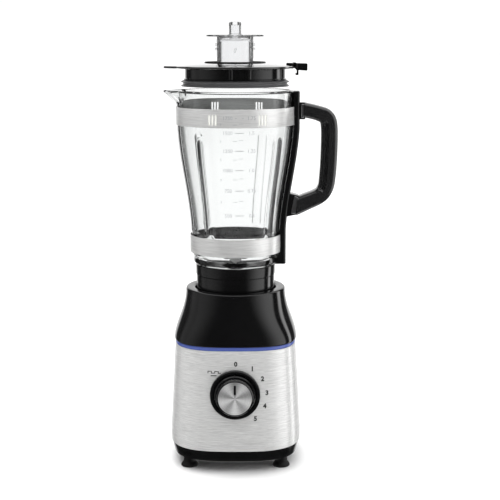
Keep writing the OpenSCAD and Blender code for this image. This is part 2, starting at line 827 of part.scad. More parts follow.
module latch_lever() color(black) on_axis() {
    difference() {
        in_handle_plane(-latch_w / 2, latch_w / 2) polygon([[60.2, lid_z + 2.6], [67.5, lid_z + 2.2],
            [72, lid_z - 2.2], [84, lid_z - 3], [85, lid_z - 2], [85, lid_z + 4], [84, lid_z + 5],
            [60.8, lid_z + 5.4], [60.2, lid_z + 4.8]]);
        translate([latch_x, 0, latch_z]) rotate([90, 0, 0])
            cylinder(r = 1.25 + running, h = 40, center = true);
    }
    in_handle_plane(-4, 4) polygon([[74.6, lid_z - 2.6], [74.6, lid_z - 8.2], [71.6, lid_z - 8.2],
        [70.4, lid_z - 6.6], [72.4, lid_z - 5.6], [72.4, lid_z - 1.8]]);
}

// ---- measuring cap ----

cup_r = 21.5;

module measuring_cap() color(glass) on_axis() {
    difference() {
        union() {
            rotate_extrude() polygon([[0, cap_flange_z - 30], [cup_r, cap_flange_z - 30],
                [cup_r, cap_flange_z], [cap_flange_r - 0.5, cap_flange_z],
                [cap_flange_r, cap_flange_z + 0.6],
                [cap_flange_r - 0.5, cap_flange_z + 1.8], [8.4, cap_flange_z + 1.8],
                [7.2, cap_flange_z + 3.2], [7.2, cap_flange_z + 15.2], [6.6, cap_flange_z + 16.4],
                [0, cap_flange_z + 16.4]]);
            for (a = [0, 180], drop = [9.5, 14.5]) rotate([0, 0, a])
                translate([cup_r, 0, cap_flange_z - drop]) rotate([0, 90, 0])
                cylinder(r = 1.3, h = 4, center = true);
        }
        rod(cup_r - 2.6, cap_flange_z - 31, 30);
    }
}

lower_housing();
foot_front_left();
foot_front_right();
foot_rear_left();
foot_rear_right();
steel_shell();
light_ring();
led_board();
upper_housing();
seat_cushion();
shaft_seal();
knob_bezel();
rotary_switch();
control_board();
cord_gland();
housing_screws();
motor_stator();
field_coils();
motor_bracket_upper();
motor_bracket_lower();
motor_tie_rods();
motor_bushings();
motor_screws();
bearing_upper();
bearing_lower();
brush_holders();
carbon_brushes();
motor_shaft();
armature_core();
armature_windings();
commutator();
cooling_fan();
drive_coupling();
knob_body();
knob_face();
knob_pointer();
dial_shaft();
glass_jar();
upper_band();
lower_band();
handle_spine();
handle_shell_front();
handle_shell_rear();
grip_insert();
handle_screws();
blade_collar();
jar_gasket();
bearing_sleeve();
blade_seal();
blade_upper();
blade_lower();
blade_shaft();
blade_nut();
driven_coupling();
lid_body();
lid_plug();
lid_gasket();
latch_pin();
latch_lever();
measuring_cap();
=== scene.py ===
"""Countertop blender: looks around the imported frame. Sizes are in millimetres from the drive axis, Z up."""
import json
import math

import bmesh
import bpy
from mathutils import Matrix, Vector


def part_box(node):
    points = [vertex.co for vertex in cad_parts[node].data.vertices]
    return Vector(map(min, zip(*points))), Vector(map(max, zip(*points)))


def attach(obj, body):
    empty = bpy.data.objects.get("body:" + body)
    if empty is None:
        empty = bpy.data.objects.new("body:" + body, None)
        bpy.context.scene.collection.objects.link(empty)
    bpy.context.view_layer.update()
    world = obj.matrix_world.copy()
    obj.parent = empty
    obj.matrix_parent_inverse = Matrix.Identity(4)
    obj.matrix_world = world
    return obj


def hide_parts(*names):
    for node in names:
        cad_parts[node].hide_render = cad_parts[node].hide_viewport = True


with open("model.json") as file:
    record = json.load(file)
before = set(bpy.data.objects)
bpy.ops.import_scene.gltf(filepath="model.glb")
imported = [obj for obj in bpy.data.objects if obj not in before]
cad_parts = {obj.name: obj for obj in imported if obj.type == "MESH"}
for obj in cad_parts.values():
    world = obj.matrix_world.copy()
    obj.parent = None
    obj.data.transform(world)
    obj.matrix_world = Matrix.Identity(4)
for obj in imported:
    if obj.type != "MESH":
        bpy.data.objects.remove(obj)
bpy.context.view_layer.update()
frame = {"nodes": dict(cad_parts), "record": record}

MM = 0.001
FRONT = -90.0  # degrees about Z at which the front faces
collar_lo, collar_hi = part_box("blade_collar")
AXIS = Vector(((collar_lo.x + collar_hi.x) / 2, (collar_lo.y + collar_hi.y) / 2, 0))


def low_z(node):
    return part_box(node)[0].z / MM


def high_z(node):
    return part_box(node)[1].z / MM


# ---- driving sizes

SHELL_BOTTOM = low_z("steel_shell")
SHELL_TOP = high_z("steel_shell")
LIGHT_TOP = high_z("light_ring")
HALF_FOOT = 79.0  # half the base's width at the foot
HALF_TOP = 73.0  # and at the top of the steel
SQUARE = 3.0  # power of the base's rounded-square plan
SEAT_RIM_Z = high_z("upper_housing")
SEAT_RIM_R = 60.0
SEAT_R = 48.7
SEAT_FLOOR = low_z("seat_cushion")
DIAL_Z = (low_z("knob_face") + high_z("knob_face")) / 2
KNOB_FRONT = -(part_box("knob_face")[0].y - AXIS.y) / MM
JUG_FOOT = low_z("handle_spine")
JUG_RIM = high_z("handle_spine") + 1.3
JUG_LOW_R = 53.7
JUG_HIGH_R = 69.4
WAIST_Z = 283.0
SHOULDER_Z = 402.0
GLASS_T = 5.0
LID_Z = low_z("lid_body") + 0.3
LID_R = 71.0
CAP_Z = low_z("measuring_cap") + 30.0  # underside of the cap's flange
GRIP_REACH = 121.2
INK = 0.08  # how far the print stands proud
BAND_T = 0.8
BANDS = (("upper_band", 407.0, 21.2, 69.6), ("lower_band", 255.3, 20.9, 53.9))  # name, foot, height, inner radius

# ---- camera, light and floor


def make_camera():
    cam = new_object("camera", bpy.data.cameras.new("camera"))
    cam.data.lens = 87.7
    cam.data.sensor_width = 36
    cam.location = AXIS + Vector((17.5, -1450, 508.5)) * MM
    cam.rotation_euler = (math.radians(90 - 9.9), 0, 0)
    bpy.context.scene.camera = cam


def feed(tree, node, inputs):
    """Links or sets a node's inputs, given by name or number."""
    for key, value in inputs.items():
        if isinstance(value, bpy.types.NodeSocket):
            tree.links.new(value, node.inputs[key])
        else:
            node.inputs[key].default_value = value


def add_node(tree, kind, inputs=None, **settings):
    node = tree.nodes.new("ShaderNode" + kind)
    for name, value in settings.items():
        setattr(node, name, value)
    feed(tree, node, inputs or {})
    return node


def maths(tree, kind, *inputs):
    return add_node(tree, "Math", dict(enumerate(inputs)), operation=kind).outputs[0]


def blend_shaders(tree, factor, first, second):
    return add_node(tree, "MixShader", {0: factor, 1: first, 2: second}).outputs[0]


def soft_band(tree, value, low, high, soft):
    """1 where value lies between low and high; soft is the edges' width, or a pair of widths."""
    soft_low, soft_high = soft if isinstance(soft, tuple) else (soft, soft)
    slopes = []
    for middle, half, start in ((low, soft_low, 0), (high, soft_high, 1)):
        slopes.append(add_node(tree, "MapRange", {"Value": value, "From Min": middle - half, "From Max": middle + half,
                                                  "To Min": start, "To Max": 1 - start},
                               interpolation_type="SMOOTHSTEP").outputs[0])
    return maths(tree, "MULTIPLY", *slopes)


def make_studio():
    """A white studio: softboxes and dark flags as bands of direction about the object."""
    world = bpy.data.worlds.new("studio")
    bpy.context.scene.world = world
    world.use_nodes = True
    tree = world.node_tree
    tree.nodes.clear()
    coords = add_node(tree, "TexCoord").outputs["Generated"]
    x, y, z = add_node(tree, "SeparateXYZ", {0: coords}).outputs
    turn = maths(tree, "MULTIPLY", maths(tree, "ARCTAN2", y, x), 180 / math.pi)
    rise = maths(tree, "MULTIPLY", maths(tree, "ARCSINE", z), 180 / math.pi)
    seen = add_node(tree, "LightPath").outputs
    lit, through, plain = (
        add_node(tree, "Background", {"Color": (1, 1, 1, 1), "Strength": strength}).outputs[0]
        for strength in (directional(tree, turn, rise, STUDIO), directional(tree, turn, rise, BRIGHT_FIELD), 1.03))
    glass = blend_shaders(tree, seen["Is Transmission Ray"], lit, through)
    add_node(tree, "OutputWorld", {0: blend_shaders(tree, seen["Is Camera Ray"], glass, plain)})


def directional(tree, turn, rise, plan):
    """Brightness by direction: softboxes over a dark room."""
    level = plan["room"]
    total = None
    for low, high, soft, z_low, z_high, value in plan["bands"]:
        mask = soft_band(tree, turn, low, high, soft)
        mask = maths(tree, "MULTIPLY", mask, soft_band(tree, rise, z_low, z_high, 6))
        part = maths(tree, "MULTIPLY", mask, value - level)
        total = part if total is None else maths(tree, "ADD", total, part)
    total = maths(tree, "ADD", total, level)
    over = soft_band(tree, rise, plan["top_from"], 100, 8)
    return maths(tree, "MAXIMUM", total, maths(tree, "MULTIPLY", over, plan["top"]))


# Each band: turn from, turn to, softness, rise from, rise to, level; +Y is at 90 degrees
STUDIO = {
    "room": 0.07,
    "top": 1.3,
    "top_from": 42,
    "bands": [
        (-185, 185, 1, -95, -60, 1.9),
        (60, 120, 4, -28, 60, 1.15),
        (-38, 4, (26, 4), -28, 60, 1.8),
        (22, 34, 3, -28, 60, 3.0),
        (-185, -140, (1, 28), -28, 60, 0.5),
        (152, 185, (8, 1), -28, 60, 0.4),
    ],
}
BRIGHT_FIELD = {
    "room": 0.03,
    "top": 0.5,
    "top_from": 50,
    "bands": [
        (-185, 185, 1, -95, -18, 1.0),
        (74, 106, 5, -18, 40, 1.1),
        (52, 56, 1.5, -95, 60, 0.8),
        (124, 128, 1.5, -95, 60, 0.8),
        (-2, 5, 2, -40, 60, 0.8),
        (175, 180, 2, -40, 60, 0.8),
        (-140, -40, 10, -95, 60, 0.5),
    ],
}


def area_light(name, place, size, power, target):
    light = bpy.data.lights.new(name, "AREA")
    light.shape = "RECTANGLE"
    light.size, light.size_y = size
    light.energy = power
    obj = new_object(name, light)
    obj.location = AXIS + Vector(place) * MM
    aim = AXIS + Vector(target) * MM - obj.location
    obj.rotation_euler = aim.to_track_quat("-Z", "Y").to_euler()
    obj.visible_glossy = False
    obj.visible_transmission = False
    obj.visible_camera = False


def make_floor():
    mesh = bpy.data.meshes.new("floor")
    outline = circle(30.0, 96)  # metres
    mesh.from_pydata([(x, y, 0) for x, y in outline], [], [tuple(range(len(outline)))])
    floor = new_object("floor", mesh)
    mat, tree, bsdf = new_material("floor_white")
    place = add_node(tree, "NewGeometry").outputs["Position"]
    away = add_node(tree, "VectorMath", {0: place}, operation="LENGTH").outputs["Value"]
    feed(tree, bsdf, {"Base Color": (0.93, 0.93, 0.93, 1), "Roughness": 0.9, "Specular IOR Level": 0.1,
                      "Emission Color": (1, 1, 1, 1), "Emission Strength": remap(tree, away, 0.0, 0.3, 0.3, 2.0)})
    # reflections and refractions look through the floor at the studio's softboxes below it
    seen = add_node(tree, "LightPath").outputs
    either = maths(tree, "MAXIMUM", seen["Is Glossy Ray"], seen["Is Transmission Ray"])
    clear_floor = add_node(tree, "BsdfTransparent").outputs[0]
    surface = blend_shaders(tree, either, bsdf.outputs[0], clear_floor)
    feed(tree, tree.nodes["Material Output"], {"Surface": surface})
    mesh.materials.append(mat)


# ---- materials


def new_material(name):
    mat = bpy.data.materials.new(name)
    mat.use_nodes = True
    return mat, mat.node_tree, mat.node_tree.nodes["Principled BSDF"]


def object_coords(tree, scale):
    coords = add_node(tree, "TexCoord").outputs["Object"]
    return add_node(tree, "Mapping", {0: coords, "Scale": scale}).outputs[0]


def noise(tree, scale, detail=4.0, stretch=(1, 1, 1)):
    place = object_coords(tree, stretch)
    return add_node(tree, "TexNoise", {"Scale": scale, "Detail": detail, "Vector": place}).outputs["Fac"]


def remap(tree, value, low, high, from_low=0.3, from_high=0.7):
    return add_node(tree, "MapRange", {"Value": value, "From Min": from_low, "From Max": from_high,
                                       "To Min": low, "To Max": high}).outputs[0]


def two_tone(tree, factor, first, second):
    """Blends two colours, each three numbers or a socket."""
    first, second = (c if isinstance(c, bpy.types.NodeSocket) else (*c, 1) for c in (first, second))
    return add_node(tree, "Mix", {"Factor": factor, "A": first, "B": second}, data_type="RGBA").outputs["Result"]


def bump(tree, height, strength, distance):
    return add_node(tree, "Bump", {"Strength": strength, "Distance": distance, "Height": height}).outputs[0]


def radial_tangent(tree, axis):
    return add_node(tree, "Tangent", direction_type="RADIAL", axis=axis).outputs[0]


def worn_edges(tree, amount):
    """0 on flats and hollows, up to amount along sharp outer edges."""
    return remap(tree, add_node(tree, "NewGeometry").outputs["Pointiness"], 0, amount, 0.52, 0.62)


def plastic(name, colour, rough, grain=0.15, grain_mm=0.5, wear=0.25, specular=0.5, coat=0.0):
    """Moulded plastic or rubber: a fine moulded grain, uneven gloss, a little wear on the edges."""
    mat, tree, bsdf = new_material(name)
    cloudy = noise(tree, 22, 5)
    fine = noise(tree, 1 / (grain_mm * MM), 3)
    light = tuple(min(1, c * 1.25 + 0.001) for c in colour)
    worn = tuple(min(1, c * 2 + 0.012) for c in colour)
    base = two_tone(tree, remap(tree, cloudy, 0, 1), colour, light)
    feed(tree, bsdf, {"Base Color": two_tone(tree, worn_edges(tree, wear), base, worn),
                      "Roughness": remap(tree, cloudy, rough * 0.85, rough * 1.2), "Specular IOR Level": specular,
                      "Coat Weight": coat, "Coat Roughness": 0.05, "Normal": bump(tree, fine, grain, 0.00003)})
    return mat


def metal(name, colour, rough, spread=0.3, scale=400, bump_strength=0.1):
    """Turned, cast or stamped metal without a clear grain."""
    mat, tree, bsdf = new_material(name)
    fine = noise(tree, scale, 5)
    cloudy = noise(tree, 40, 4)
    dark = tuple(c * (1 - spread) for c in colour)
    feed(tree, bsdf, {"Base Color": two_tone(tree, remap(tree, cloudy, 0, 1), dark, colour),
                      "Roughness": remap(tree, fine, rough * 0.8, rough * 1.3), "Metallic": 1,
                      "Normal": bump(tree, fine, bump_strength, 0.00005)})
    return mat


def brushed_steel(name, stretch, rough, tone, metallic, valley=0.7):
    """Steel with a directional grain: stretch is the grain's frequency per metre along x, y and z.

    tone is the brightness of the grain's ridges, and valley that of its hollows as a part of it.
    """
    mat, tree, bsdf = new_material(name)
    long_grain = noise(tree, 1, 3, stretch)
    fine_grain = noise(tree, 1, 2, tuple(2.7 * s for s in stretch))
    grain = maths(tree, "ADD", maths(tree, "MULTIPLY", long_grain, 0.6), maths(tree, "MULTIPLY", fine_grain, 0.4))
    dark = (tone * valley, tone * valley, tone * valley * 0.99)
    light = (tone, tone, tone * 0.99)
    feed(tree, bsdf, {"Base Color": two_tone(tree, remap(tree, grain, 0, 1, 0.35, 0.65), dark, light),
                      "Roughness": remap(tree, grain, rough * 0.8, rough * 1.25, 0.35, 0.65),
                      "Metallic": metallic, "Anisotropic": 0.7, "Anisotropic Rotation": 0.25,
                      "Tangent": radial_tangent(tree, "Z"), "Normal": bump(tree, grain, 0.25, 0.00003)})
    return mat


def clear(name, colour, rough):
    """Clear glass or plastic with a faint pressed waviness and fine dust on its surface."""
    mat, tree, bsdf = new_material(name)
    light = tuple(min(1, c + 0.015) for c in colour)
    feed(tree, bsdf, {"Transmission Weight": 1, "IOR": 1.5,
                      "Base Color": two_tone(tree, noise(tree, 15, 2), colour, light),
                      "Roughness": remap(tree, noise(tree, 120, 3), rough, rough + 0.02),
                      "Normal": bump(tree, noise(tree, 60, 2), 0.02, 0.0004)})
    return mat


def glow(name, colour, strength):
    """The light guide: milky blue plastic, lit unevenly from behind."""
    mat, tree, bsdf = new_material(name)
    dim = tuple(c * 0.85 for c in colour)
    feed(tree, bsdf, {"Base Color": (0.05, 0.07, 0.22, 1), "Roughness": 0.25, "Emission Strength": strength,
                      "Emission Color": two_tone(tree, noise(tree, 30, 2), dim, colour)})
    return mat


def circuit_board(name):
    mat, tree, bsdf = new_material(name)
    traces = add_node(tree, "TexBrick", {"Scale": 260, "Color1": (0.02, 0.16, 0.07, 1),
                                         "Color2": (0.03, 0.22, 0.1, 1), "Mortar": (0.1, 0.4, 0.2, 1),
                                         "Vector": object_coords(tree, (1, 1, 1))}).outputs
    feed(tree, bsdf, {"Base Color": traces["Color"], "Roughness": remap(tree, noise(tree, 200, 3), 0.3, 0.5),
                      "Normal": bump(tree, traces["Fac"], 0.2, 0.00005)})
    return mat


def banded_metal(name, colour, per_metre, rough):
    """Stacked laminations or wound wire: fine bands along Z."""
    mat, tree, bsdf = new_material(name)
    wave = add_node(tree, "TexWave", {"Scale": per_metre, "Distortion": 0.4,
                                      "Vector": object_coords(tree, (1, 1, 1))}, bands_direction="Z").outputs["Fac"]
    dark = tuple(c * 0.55 for c in colour)
    feed(tree, bsdf, {"Base Color": two_tone(tree, wave, dark, colour), "Metallic": 1,
                      "Roughness": remap(tree, noise(tree, 300, 3), rough * 0.8, rough * 1.3),
                      "Normal": bump(tree, wave, 0.4, 0.0001)})
    return mat


MATERIALS = {name: make(name, *settings) for name, (make, *settings) in {
    "black_gloss": (plastic, (0.002, 0.002, 0.0022), 0.09, 0.03, 1.5, 0.03, 0.45),
    "black_matte": (plastic, (0.003, 0.003, 0.0033), 0.28, 0.12, 0.4, 0.08, 0.3),
    "brushed_steel": (brushed_steel, (60, 60, 2600), 0.36, 0.81, 0.3, 0.6),
    "cast_zinc": (metal, (0.62, 0.63, 0.65), 0.45, 0.15, 700, 0.3),
    "blue_light": (glow, (0.031, 0.056, 0.215), 0.7),
    "clear_glass": (clear, (0.965, 0.975, 0.972), 0.0),
    "clear_plastic": (clear, (0.93, 0.935, 0.94), 0.005),
    "grey_silicone": (plastic, (0.075, 0.076, 0.078), 0.35, 0.1, 0.8, 0.05, 0.4),
    "black_rubber": (plastic, (0.006, 0.006, 0.006), 0.5, 0.3, 0.4, 0.2, 0.2),
    "circuit_board": (circuit_board,),
    "white_plastic": (plastic, (0.7, 0.7, 0.66), 0.45, 0.2, 0.5, 0.1),
    "turned_steel": (metal, (0.62, 0.62, 0.63), 0.22, 0.1, 900, 0.08),
    "motor_iron": (banded_metal, (0.33, 0.34, 0.36), 320, 0.5),
    "copper": (banded_metal, (0.78, 0.36, 0.17), 260, 0.35),
    "bronze": (metal, (0.68, 0.5, 0.26), 0.4, 0.2, 1200, 0.25),
    "carbon": (plastic, (0.02, 0.02, 0.02), 0.6, 0.5, 0.3, 0.2),
    "coupling_plastic": (plastic, (0.02, 0.02, 0.021), 0.4, 0.3, 0.5, 0.3),
}.items()}
LID_BLACK = plastic("lid_black", (0.004, 0.004, 0.0042), 0.08, 0.03, 1.5, 0.03, 0.5, 1.0)
HANDLE_BLACK = plastic("handle_black", (0.008, 0.008, 0.0084), 0.15, 0.08, 0.4, 0.06, 0.95)
BAND_STEEL = brushed_steel("band_steel", (35, 35, 1900), 0.4, 0.8, 0.5)
TRIM = metal("satin_trim", (0.42, 0.42, 0.43), 0.35, 0.15, 500, 0.1)
PRINT_BLACK = plastic("print_black", (0.02, 0.02, 0.02), 0.45, 0.1, 0.3, 0.0)
PRINT_GREY = plastic("print_grey", (0.35, 0.36, 0.37), 0.5, 0.1, 0.3, 0.0)


def dress_frame():
    """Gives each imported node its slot's material and smooth shading across shallow angles."""
    slots = {s["node"]: s["material_slot"] for s in frame["record"]["subparts"]}
    for name, obj in frame["nodes"].items():
        obj.data.materials.clear()
        obj.data.materials.append(MATERIALS[slots[name]])
        smooth(obj.data, 30)


# ---- mesh helpers


def smooth(mesh, angle):
    mesh.polygons.foreach_set("use_smooth", [True] * len(mesh.polygons))
    mesh.set_sharp_from_angle(angle=math.radians(angle))


def new_object(name, data):
    obj = bpy.data.objects.new(name, data)
    bpy.context.scene.collection.objects.link(obj)
    return obj


def mesh_object(name, shape):
    """An object from (points, faces), the points in millimetres from the drive axis."""
    points, faces = shape
    mesh = bpy.data.meshes.new(name)
    mesh.from_pydata([AXIS + Vector(p) * MM for p in points], [], faces)
    return new_object(name, mesh)


def clean_up(mesh, merge):
    """Turns the faces outwards, and merges points that coincide if asked to."""
    work = bmesh.new()
    work.from_mesh(mesh)
    if merge:
        bmesh.ops.remove_doubles(work, verts=work.verts, dist=1e-7)
    bmesh.ops.recalc_face_normals(work, faces=work.faces)
    work.to_mesh(mesh)
    work.free()


def add_piece(name, shape, body, slot, replaced=(), angle=35, material=None):
    """A visible piece that rides on a body and takes the place of the replaced nodes."""
    obj = mesh_object(name, shape)
    mesh = obj.data
    mesh.validate()
    clean_up(mesh, True)
    mesh.materials.append(material or MATERIALS[slot])
    smooth(mesh, angle)
    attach(obj, body)
    if replaced:
        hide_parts(*replaced)
    return obj


def skin(rings, open_ended=False):
    """Faces over rings of equal length: the rings' path closes on itself, or is capped at both ends."""
    n = len(rings[0])
    points = [p for ring in rings for p in ring]
    faces = []
    count = len(rings)
    for j in range(count - 1 if open_ended else count):
        a, b = j * n, ((j + 1) % count) * n
        faces += [(a + i, a + (i + 1) % n, b + (i + 1) % n, b + i) for i in range(n)]
    if open_ended:
        faces.append(tuple(range(n - 1, -1, -1)))
        faces.append(tuple((count - 1) * n + i for i in range(n)))
    return points, faces


def rounded(points, radii, closed=True, steps=5):
    """A polygon with each corner rounded by its radius: points are (a, b), radii one number or a list."""
    count = len(points)
    if isinstance(radii, (int, float)):
        radii = [radii] * count
    out = []
    for i, (point, radius) in enumerate(zip(points, radii)):
        if radius <= 0 or (not closed and i in (0, count - 1)):
            out.append(tuple(point))
            continue
        here = Vector(point)
        back = Vector(points[i - 1]) - here
        on = Vector(points[(i + 1) % count]) - here
        angle = back.angle(on)
        if angle > math.pi - 0.02:
            out.append(tuple(point))
            continue
        reach = min(radius / math.tan(angle / 2), back.length * 0.49, on.length * 0.49)
        radius = reach * math.tan(angle / 2)
        start, end = here + back.normalized() * reach, here + on.normalized() * reach
        centre = here + (back.normalized() + on.normalized()).normalized() * (radius / math.sin(angle / 2))
        a, b = start - centre, end - centre
        sweep = a.angle_signed(b)
        for k in range(steps + 1):
            turned = a.copy()
            turned.rotate(Matrix.Rotation(-sweep * k / steps, 2))
            out.append(tuple(centre + turned))
    return out


def revolve(profile, sides=128, open_ended=False, wobble=None):
    """Rings of a turned shape: profile is (r, z) points; wobble(degrees, *point) may change r."""
    rings = []
    for point in profile:
        r, z = point[:2]
        ring = []
        for i in range(sides):
            turn = 360 * i / sides
            radius = wobble(turn, *point) if wobble else r
            a = math.radians(turn)
            ring.append((radius * math.cos(a), radius * math.sin(a), z))
        rings.append(ring)
    return skin(rings, open_ended)


def square_ring(half, z, power=SQUARE, sides=144):
    """One ring of the base's rounded-square plan."""
    ring = []
    for i in range(sides):
        a = 2 * math.pi * i / sides
        c, s = math.cos(a), math.sin(a)
        r = half / (abs(c) ** power + abs(s) ** power) ** (1 / power)
        ring.append((r * c, r * s, z))
    return ring


def square_loop(path):
    """A closed shell of rounded-square rings: path is (half, z) or (half, z, power) points."""
    return skin([square_ring(*point) for point in path])


def oblong(a0, a1, b0, b1):
    return [(a0, b0), (a1, b0), (a1, b1), (a0, b1)]


def circle(radius, sides):
    return [(radius * math.cos(a), radius * math.sin(a)) for a in (2 * math.pi * k / sides for k in range(sides))]


def quarter(steps):
    """Cosine and sine over a quarter turn."""
    return [(math.cos(a), math.sin(a)) for a in (math.pi / 2 * k / steps for k in range(steps + 1))]


def ease(t):
    return (1 - math.cos(math.pi * t)) / 2


def mix(a, b, t):
    return a + (b - a) * t


def gathered(shapes):
    """Several (points, faces) as one."""
    points, faces = [], []
    for more, sides in shapes:
        faces += [tuple(i + len(points) for i in f) for f in sides]
        points += more
    return points, faces


def evaluated(obj):
    """A new mesh from obj's modifiers or its letters."""
    bpy.context.view_layer.update()
    return bpy.data.meshes.new_from_object(obj.evaluated_get(bpy.context.evaluated_depsgraph_get()))


def cut(obj, *cutters):
    """Takes closed cutter pieces out of obj, and deletes them."""
    for cutter in cutters:
        mod = obj.modifiers.new("cut", "BOOLEAN")
        mod.object = cutter
        mod.operation = "DIFFERENCE"
        mod.solver = "EXACT"
    mesh = evaluated(obj)
    obj.modifiers.clear()
    obj.data = mesh
    for cutter in cutters:
        bpy.data.objects.remove(cutter)


def tool(shape):
    """A throwaway closed mesh for cut() and join_into()."""
    obj = mesh_object("tool", shape)
    clean_up(obj.data, False)
    return obj


def side_on(a, b, d):
    """Places an outline in the handle's plane, with its depth across it."""
    return (a, d, b)


def flat(a, b, d):
    """Places an outline level, with its depth upwards."""
    return (a, b, d)


def on_panel(a, b, d):
    """Places an outline about the dial's axis, with its depth to the front."""
    return (a, -d, DIAL_Z + b)


def facing(turn, lift=0.0):
    """Places an outline upright at a turn about the axis, with its depth outwards."""
    c, s = math.cos(math.radians(turn)), math.sin(math.radians(turn))
    return lambda u, v, d: (d * c - u * s, d * s + u * c, lift + v)


def prism(outline, place, low, high):
    """Extrudes an outline: place maps (a, b, depth) to a point, from depth low to high."""
    n = len(outline)
    points = [place(a, b, d) for d in (low, high) for a, b in outline]
    faces = [(i, (i + 1) % n, n + (i + 1) % n, n + i) for i in range(n)]
    faces += [tuple(range(n - 1, -1, -1)), tuple(range(n, 2 * n))]
    return points, faces


def soft_prism(outline, place, low, high, bevel):
    """An extruded outline whose two rims are rounded by bevel."""
    depths = [(low + bevel * (1 - s), bevel * (1 - c)) for c, s in quarter(4)][::-1]
    depths += [(high - (d - low), s) for d, s in depths[::-1]]
    layers = [[place(a, b, d) for a, b in inset_outline(outline, s)] for d, s in depths]
    return skin(layers, True)


def inset_outline(outline, amount):
    """Each point moved inwards by amount along the mean of its edges' normals (outline anticlockwise)."""
    n = len(outline)
    out = []
    for i in range(n):
        a, b, c = Vector(outline[i - 1]), Vector(outline[i]), Vector(outline[(i + 1) % n])
        one, two = (b - a), (c - b)
        n1 = Vector((-one.y, one.x)).normalized()
        n2 = Vector((-two.y, two.x)).normalized()
        m = (n1 + n2).normalized()
        out.append(tuple(b + m * amount / max(0.4, m.dot(n1))))
    return out


# ---- base


def shell_half(z):
    bend = SHELL_BOTTOM + 12
    return mix(HALF_FOOT, HALF_TOP, max(0, (z - bend) / (SHELL_TOP - bend)))


def shell_front(x, z, proud=0.0):
    """Where the shell's front surface lies at x and z."""
    half = shell_half(z)
    return (x, -half * (1 - abs(x / half) ** SQUARE) ** (1 / SQUARE) - proud, z)


def make_upper_housing():
    flare_low, flare_high = LIGHT_TOP, SEAT_RIM_Z - 2.5

    def flare(t, inside=0):
        half = mix(HALF_TOP + 1, SEAT_RIM_R, ease(t ** 0.85)) - inside
        return half, mix(flare_low, flare_high, t), mix(SQUARE, 2, ease(t))
    steps = 28
    path = [flare(i / steps) for i in range(steps + 1)]
    edge = 1.2
    half = path[0][0]
    path[:1] = [(half - edge, flare_low), (half - 0.45, flare_low + 0.3), (half - 0.1, flare_low + edge * 0.8)]
    lip_r = 2.5
    path += [(SEAT_RIM_R - lip_r * (1 - c), flare_high + lip_r * s, 2) for c, s in quarter(6)[1:]]
    path += [(SEAT_R + lip_r * (1 - s), SEAT_RIM_Z - lip_r * (1 - c), 2) for c, s in quarter(6)]
    floor = SEAT_FLOOR
    path += [(SEAT_R, floor + 3, 2), (SEAT_R - 0.9, floor + 0.9, 2), (SEAT_R - 3, floor, 2),
             (14, floor, 2), (13, floor + 0.6, 2), (11.8, floor + 0.6, 2), (11, floor, 2),
             (11, floor - 3, 2), (51, floor - 3, 2), (52, SEAT_RIM_Z - 6, 2)]
    path += [flare(min(i / steps, 0.86), 3) for i in range(steps, -1, -4)]
    add_piece("upper_housing_shell", square_loop(path + [(70.5, LIGHT_TOP)]), "base", "black_gloss",
              ["upper_housing"], 60)


def make_steel_shell():
    t = 0.8
    roll = 0.8
    bend = SHELL_BOTTOM + 12
    heights = [SHELL_BOTTOM + 1.5, bend - 4, bend, bend + 4]
    heights += [mix(bend + 10, SHELL_TOP - 1.5, i / 12) for i in range(13)]
    outer = [(shell_half(z), z) for z in heights]
    top = [(shell_half(SHELL_TOP) - roll * (1 - c), SHELL_TOP - roll * (1 - s)) for c, s in quarter(4)]
    inner = [(half - t - 0.4, z) for half, z in reversed(outer)]
    foot = [(HALF_FOOT - t, SHELL_BOTTOM), (HALF_FOOT - 0.5, SHELL_BOTTOM + 0.05),
            (HALF_FOOT - 0.1, SHELL_BOTTOM + 0.5)]
    shell = add_piece("steel_shell_brushed", square_loop(outer + top + inner + foot), "base", "brushed_steel",
                      ["steel_shell"], 60)
    cut(shell, tool(prism(circle(6, 48), on_panel, 60, 100)))
    smooth(shell.data, 50)


def make_light_ring():
    half = shell_half(SHELL_TOP)
    outline = rounded(oblong(half - 4, half - 0.2, SHELL_TOP, LIGHT_TOP), [0.3, 1.1, 1.1, 0.3])
    add_piece("light_ring_guide", square_loop(outline), "base", "blue_light",
              ["light_ring"], 50)


def make_lower_housing():
    foot_z = 14.0
    top, bottom = HALF_FOOT - 1, HALF_FOOT - 4
    lip = HALF_FOOT - 1.1
    outline = rounded([(bottom - 9, foot_z), (bottom, foot_z), (top, SHELL_BOTTOM - 0.1), (lip, SHELL_BOTTOM),
                       (lip, SHELL_BOTTOM + 6), (74, SHELL_BOTTOM + 6), (71.5, foot_z + 3.2),
                       (bottom - 9, foot_z + 3)], [0, 1.6, 0.4, 0, 0.4, 0.4, 1, 0])
    wall = tool(square_loop(outline))
    plate = square_loop([(4, foot_z, 2), (bottom - 8, foot_z), (bottom - 8, foot_z + 3), (4, foot_z + 3, 2)])
    floor = add_piece("plinth", plate, "base", "black_gloss", ["lower_housing"], 40)
    join_into(floor, wall)
    louvres = [tool(prism(rounded(oblong(x - 1.5, x + 1.5, -23, 23), 1.4), flat, foot_z - 2, foot_z + 5))
               for x in range(-30, 31, 6)]
    vent = rounded(oblong(-0.9, 0.9, 17.5, 25), 0.85)
    vents = [tool(prism(vent, facing(corner + k * 0.8), 84, 105))
             for corner in (45, 135, 225, 315) for k in (-8, -4, 0, 4, 8)]
    cut(floor, *louvres, *vents)
    smooth(floor.data, 40)


def join_into(obj, other):
    """Adds another mesh to obj's own and deletes the other object."""
    both = bmesh.new()
    both.from_mesh(obj.data)
    both.from_mesh(other.data)
    both.to_mesh(obj.data)
    both.free()
    bpy.data.objects.remove(other)
    smooth(obj.data, 40)


